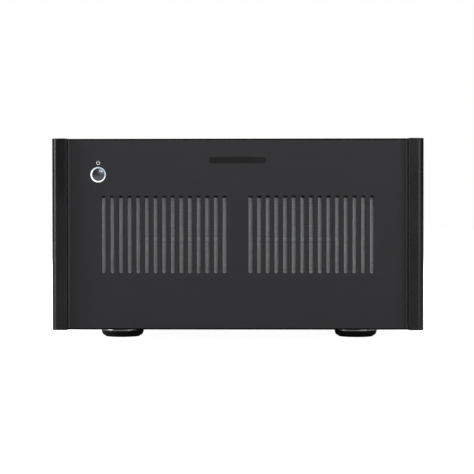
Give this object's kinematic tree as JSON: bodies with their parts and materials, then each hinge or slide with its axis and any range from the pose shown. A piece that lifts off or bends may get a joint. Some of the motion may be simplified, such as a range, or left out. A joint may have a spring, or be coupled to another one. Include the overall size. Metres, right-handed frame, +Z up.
{
  "type": "power amplifier",
  "caption": "Stereo power amplifier: slotted black front with a ring-lit push button, vented steel case, inner heat sinks and ring-core transformers, speaker posts and sockets behind.",
  "frame": {"origin": "middle of the bounding box at the height of the surface that the feet stand on", "axes": "+Z up, front faces -Y, +X to the right seen from the front"},
  "size_m": [0.431, 0.454, 0.237],
  "materials": {
    "front_aluminium": "black anodised, fine horizontal brushing",
    "cap_aluminium": "satin black anodised",
    "inlay_black": "gloss black, blank",
    "screen_steel": "grey perforated sheet",
    "case_steel": "fine-texture black powder coat",
    "plated_steel": "zinc plated",
    "ring_lens": "translucent, lit from behind",
    "button_metal": "polished, domed",
    "black_plastic": "moulded",
    "spring_steel": "drawn wire",
    "foot_plastic": "moulded, semi gloss",
    "foot_trim": "black chrome",
    "foot_rubber": "matt",
    "black_screws": "black oxide",
    "winding": "wound core under clear tape",
    "capacitor_sleeve": "shrink sleeve",
    "circuit_board": "glass-epoxy, green mask",
    "heatsink_black": "black anodised extrusion",
    "brass_spacer": "nickel-free turned brass",
    "gold_plate": "gold plated",
    "socket_metal": "black die-cast shell",
    "latch_metal": "nickel plated",
    "switch_knob": "moulded",
    "post_plastic": "moulded insulator",
    "post_clear": "fluted cap with a coloured band",
    "inlet_plastic": "moulded",
    "wire_sleeve": "silicone sleeve"
  },
  "bodies": {
    "chassis": {"amp_board_left": "circuit_board", "amp_board_right": "circuit_board", "balanced_sockets": "socket_metal", "board_spacers": "brass_spacer", "button_guide": "black_plastic", "button_spring": "spring_steel", "case_screws": "black_screws", "chassis_base": "case_steel", "connector_screws": "black_screws", "end_cap_left": "cap_aluminium", "end_cap_right": "cap_aluminium", "foot_front_left": "foot_plastic", "foot_front_right": "foot_plastic", "foot_pads": "foot_rubber", "foot_rear_left": "foot_plastic", "foot_rear_right": "foot_plastic", "foot_screws": "black_screws", "foot_trims": "foot_trim", "front_panel": "front_aluminium", "front_subpanel": "plated_steel", "grille_screen_left": "screen_steel", "grille_screen_right": "screen_steel", "heatsink_left": "heatsink_black", "heatsink_right": "heatsink_black", "input_board": "circuit_board", "light_ring": "ring_lens", "mains_board": "circuit_board", "mains_inlet": "inlet_plastic", "name_inlay": "inlay_black", "output_transistors": "black_plastic", "phono_sockets": "gold_plate", "post_bases": "post_plastic", "post_studs": "gold_plate", "power_switch": "black_plastic", "rear_panel": "case_steel", "rectifiers": "black_plastic", "slide_switches": "black_plastic", "supply_board": "circuit_board", "supply_capacitors": "capacitor_sleeve", "top_cover": "case_steel", "transformer_bolts": "plated_steel", "transformer_clamps": "plated_steel", "transformer_left": "winding", "transformer_pads": "foot_rubber", "transformer_right": "winding", "trigger_sockets": "black_plastic", "wiring": "wire_sleeve"},
    "power_button": {"power_button": "button_metal"},
    "socket_latch_left": {"socket_latch_left": "latch_metal"},
    "socket_latch_right": {"socket_latch_right": "latch_metal"},
    "input_switch_knob": {"input_switch_knob": "switch_knob"},
    "mode_switch_knob": {"mode_switch_knob": "switch_knob"},
    "post_collar_1": {"post_collar_1": "gold_plate"},
    "post_cap_1": {"post_cap_1": "post_clear"},
    "post_collar_2": {"post_collar_2": "gold_plate"},
    "post_cap_2": {"post_cap_2": "post_clear"},
    "post_collar_3": {"post_collar_3": "gold_plate"},
    "post_cap_3": {"post_cap_3": "post_clear"},
    "post_collar_4": {"post_collar_4": "gold_plate"},
    "post_cap_4": {"post_cap_4": "post_clear"}
  },
  "joints": [
    {"name": "power_push", "type": "slide", "parent": "chassis", "child": "power_button", "axis": [0, 1, 0], "range_m": [0, 0.003], "stiffness_N_per_m": 500, "deforming": ["button_spring"]},
    {"name": "latch_left_push", "type": "slide", "parent": "chassis", "child": "socket_latch_left", "axis": [0, -1, 0], "range_m": [0, 0.0016], "stiffness_N_per_m": 600},
    {"name": "latch_right_push", "type": "slide", "parent": "chassis", "child": "socket_latch_right", "axis": [0, -1, 0], "range_m": [0, 0.0016], "stiffness_N_per_m": 600},
    {"name": "input_select", "type": "slide", "parent": "chassis", "child": "input_switch_knob", "axis": [1, 0, 0], "range_m": [0, 0.004]},
    {"name": "mode_select", "type": "slide", "parent": "chassis", "child": "mode_switch_knob", "axis": [1, 0, 0], "range_m": [0, 0.007]},
    {"name": "post_travel_1", "type": "slide", "parent": "chassis", "child": "post_collar_1", "axis": [0, 1, 0], "range_m": [0, 0.005]},
    {"name": "post_turn_1", "type": "hinge", "parent": "post_collar_1", "child": "post_cap_1", "pos_m": [-0.168, 0.218, 0.08], "axis": [0, 1, 0], "range_deg": [0, 1800]},
    {"name": "post_travel_2", "type": "slide", "parent": "chassis", "child": "post_collar_2", "axis": [0, 1, 0], "range_m": [0, 0.005]},
    {"name": "post_turn_2", "type": "hinge", "parent": "post_collar_2", "child": "post_cap_2", "pos_m": [-0.136, 0.218, 0.08], "axis": [0, 1, 0], "range_deg": [0, 1800]},
    {"name": "post_travel_3", "type": "slide", "parent": "chassis", "child": "post_collar_3", "axis": [0, 1, 0], "range_m": [0, 0.005]},
    {"name": "post_turn_3", "type": "hinge", "parent": "post_collar_3", "child": "post_cap_3", "pos_m": [0.136, 0.218, 0.08], "axis": [0, 1, 0], "range_deg": [0, 1800]},
    {"name": "post_travel_4", "type": "slide", "parent": "chassis", "child": "post_collar_4", "axis": [0, 1, 0], "range_m": [0, 0.005]},
    {"name": "post_turn_4", "type": "hinge", "parent": "post_collar_4", "child": "post_cap_4", "pos_m": [0.168, 0.218, 0.08], "axis": [0, 1, 0], "range_deg": [0, 1800]}
  ],
  "couplings": [
    {"joint": "post_travel_1", "follows": "post_turn_1", "m_per_rad": 0.00015915},
    {"joint": "post_travel_2", "follows": "post_turn_2", "m_per_rad": 0.00015915},
    {"joint": "post_travel_3", "follows": "post_turn_3", "m_per_rad": 0.00015915},
    {"joint": "post_travel_4", "follows": "post_turn_4", "m_per_rad": 0.00015915}
  ]
}
